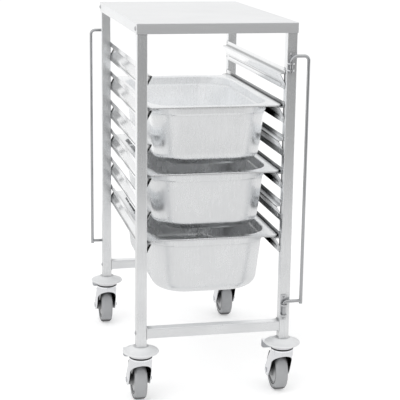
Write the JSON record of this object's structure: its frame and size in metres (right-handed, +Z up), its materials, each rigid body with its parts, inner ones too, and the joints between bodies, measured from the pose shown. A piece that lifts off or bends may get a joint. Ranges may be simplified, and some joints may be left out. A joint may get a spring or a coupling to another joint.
{
  "type": "gastronorm tray trolley",
  "caption": "Stainless trolley with a worktop over folded slide rails, deep lift-out trays, swinging retaining bars and braked swivel castors with bumper discs.",
  "frame": {"origin": "on the floor under the middle of the whole trolley's box", "axes": "+Z up, -Y towards the side that the trays slide out of, +X to the right seen from there"},
  "size_m": [0.443, 0.715, 0.925],
  "materials": {
    "worktop_sheet": "fine brushed stainless sheet",
    "frame_tube": "brushed stainless square tube",
    "rail_sheet": "bright folded stainless sheet",
    "tray_steel": "satin drawn stainless steel",
    "rod_steel": "polished stainless rod",
    "bracket_steel": "satin stainless",
    "fastener_steel": "bright stainless fasteners",
    "castor_steel": "bright zinc-plated pressed steel",
    "hub_plastic": "light grey moulded plastic",
    "tyre_rubber": "matt non-marking grey rubber",
    "bumper_rubber": "pale grey soft plastic"
  },
  "bodies": {
    "frame": {"worktop": "worktop_sheet", "crossbar_front": "frame_tube", "crossbar_rear": "frame_tube", "frame_bolts": "fastener_steel", "bracket_screws": "fastener_steel", "rail_rivets": "fastener_steel", "post_front_left": "frame_tube", "post_front_right": "frame_tube", "post_rear_left": "frame_tube", "post_rear_right": "frame_tube", "rail_left_1": "rail_sheet", "rail_left_2": "rail_sheet", "rail_left_3": "rail_sheet", "rail_left_4": "rail_sheet", "rail_left_5": "rail_sheet", "rail_left_6": "rail_sheet", "rail_right_1": "rail_sheet", "rail_right_2": "rail_sheet", "rail_right_3": "rail_sheet", "rail_right_4": "rail_sheet", "rail_right_5": "rail_sheet", "rail_right_6": "rail_sheet", "bar_bracket_upper_right": "bracket_steel", "bar_bracket_upper_left": "bracket_steel", "bar_bracket_lower_right": "bracket_steel", "bar_bracket_lower_left": "bracket_steel", "bumper_front_left": "bumper_rubber", "bumper_front_right": "bumper_rubber", "bumper_rear_left": "bumper_rubber", "bumper_rear_right": "bumper_rubber", "castor_head_front_left": "castor_steel", "castor_head_front_right": "castor_steel", "castor_head_rear_left": "castor_steel", "castor_head_rear_right": "castor_steel"},
    "tray_top": {"tray_top": "tray_steel"},
    "tray_middle": {"tray_middle": "tray_steel"},
    "tray_bottom": {"tray_bottom": "tray_steel"},
    "bar_right": {"retaining_bar_right": "rod_steel"},
    "bar_left": {"retaining_bar_left": "rod_steel"},
    "castor_front_left": {"castor_fork_front_left": "castor_steel", "castor_axle_front_left": "fastener_steel"},
    "wheel_front_left": {"castor_hub_front_left": "hub_plastic", "castor_tyre_front_left": "tyre_rubber"},
    "pedal_front_left": {"brake_pedal_front_left": "castor_steel"},
    "castor_front_right": {"castor_fork_front_right": "castor_steel", "castor_axle_front_right": "fastener_steel"},
    "wheel_front_right": {"castor_hub_front_right": "hub_plastic", "castor_tyre_front_right": "tyre_rubber"},
    "pedal_front_right": {"brake_pedal_front_right": "castor_steel"},
    "castor_rear_left": {"castor_fork_rear_left": "castor_steel", "castor_axle_rear_left": "fastener_steel"},
    "wheel_rear_left": {"castor_hub_rear_left": "hub_plastic", "castor_tyre_rear_left": "tyre_rubber"},
    "pedal_rear_left": {"brake_pedal_rear_left": "castor_steel"},
    "castor_rear_right": {"castor_fork_rear_right": "castor_steel", "castor_axle_rear_right": "fastener_steel"},
    "wheel_rear_right": {"castor_hub_rear_right": "hub_plastic", "castor_tyre_rear_right": "tyre_rubber"},
    "pedal_rear_right": {"brake_pedal_rear_right": "castor_steel"}
  },
  "joints": [
    {"name": "tray_top_slide", "type": "slide", "parent": "frame", "child": "tray_top", "axis": [0, -1, 0], "range_m": [0, 0.26]},
    {"name": "tray_middle_slide", "type": "slide", "parent": "frame", "child": "tray_middle", "axis": [0, -1, 0], "range_m": [0, 0.26]},
    {"name": "tray_bottom_slide", "type": "slide", "parent": "frame", "child": "tray_bottom", "axis": [0, -1, 0], "range_m": [0, 0.26]},
    {"name": "bar_right_hinge", "type": "hinge", "parent": "frame", "child": "bar_right", "pos_m": [0.173, -0.335, 0.55], "axis": [0, 0, 1], "range_deg": [-180, 0]},
    {"name": "bar_left_hinge", "type": "hinge", "parent": "frame", "child": "bar_left", "pos_m": [-0.173, 0.293, 0.55], "axis": [0, 0, 1], "range_deg": [-180, 0]},
    {"name": "swivel_front_left", "type": "hinge", "parent": "frame", "child": "castor_front_left", "pos_m": [-0.1775, -0.3135, 0.114], "axis": [0, 0, 1], "continuous": true},
    {"name": "wheel_front_left_spin", "type": "hinge", "parent": "castor_front_left", "child": "wheel_front_left", "pos_m": [-0.1775, -0.2775, 0.05], "axis": [1, 0, 0], "continuous": true},
    {"name": "pedal_front_left_press", "type": "hinge", "parent": "castor_front_left", "child": "pedal_front_left", "pos_m": [-0.1775, -0.2775, 0.1115], "axis": [-1, 0, 0], "range_deg": [0, 12]},
    {"name": "swivel_front_right", "type": "hinge", "parent": "frame", "child": "castor_front_right", "pos_m": [0.1775, -0.3135, 0.114], "axis": [0, 0, 1], "continuous": true},
    {"name": "wheel_front_right_spin", "type": "hinge", "parent": "castor_front_right", "child": "wheel_front_right", "pos_m": [0.1775, -0.2775, 0.05], "axis": [1, 0, 0], "continuous": true},
    {"name": "pedal_front_right_press", "type": "hinge", "parent": "castor_front_right", "child": "pedal_front_right", "pos_m": [0.1775, -0.2775, 0.1115], "axis": [-1, 0, 0], "range_deg": [0, 12]},
    {"name": "swivel_rear_left", "type": "hinge", "parent": "frame", "child": "castor_rear_left", "pos_m": [-0.1775, 0.2715, 0.114], "axis": [0, 0, 1], "continuous": true},
    {"name": "wheel_rear_left_spin", "type": "hinge", "parent": "castor_rear_left", "child": "wheel_rear_left", "pos_m": [-0.1775, 0.3075, 0.05], "axis": [1, 0, 0], "continuous": true},
    {"name": "pedal_rear_left_press", "type": "hinge", "parent": "castor_rear_left", "child": "pedal_rear_left", "pos_m": [-0.1775, 0.3075, 0.1115], "axis": [-1, 0, 0], "range_deg": [0, 12]},
    {"name": "swivel_rear_right", "type": "hinge", "parent": "frame", "child": "castor_rear_right", "pos_m": [0.1775, 0.2715, 0.114], "axis": [0, 0, 1], "continuous": true},
    {"name": "wheel_rear_right_spin", "type": "hinge", "parent": "castor_rear_right", "child": "wheel_rear_right", "pos_m": [0.1775, 0.3075, 0.05], "axis": [1, 0, 0], "continuous": true},
    {"name": "pedal_rear_right_press", "type": "hinge", "parent": "castor_rear_right", "child": "pedal_rear_right", "pos_m": [0.1775, 0.3075, 0.1115], "axis": [-1, 0, 0], "range_deg": [0, 12]}
  ]
}
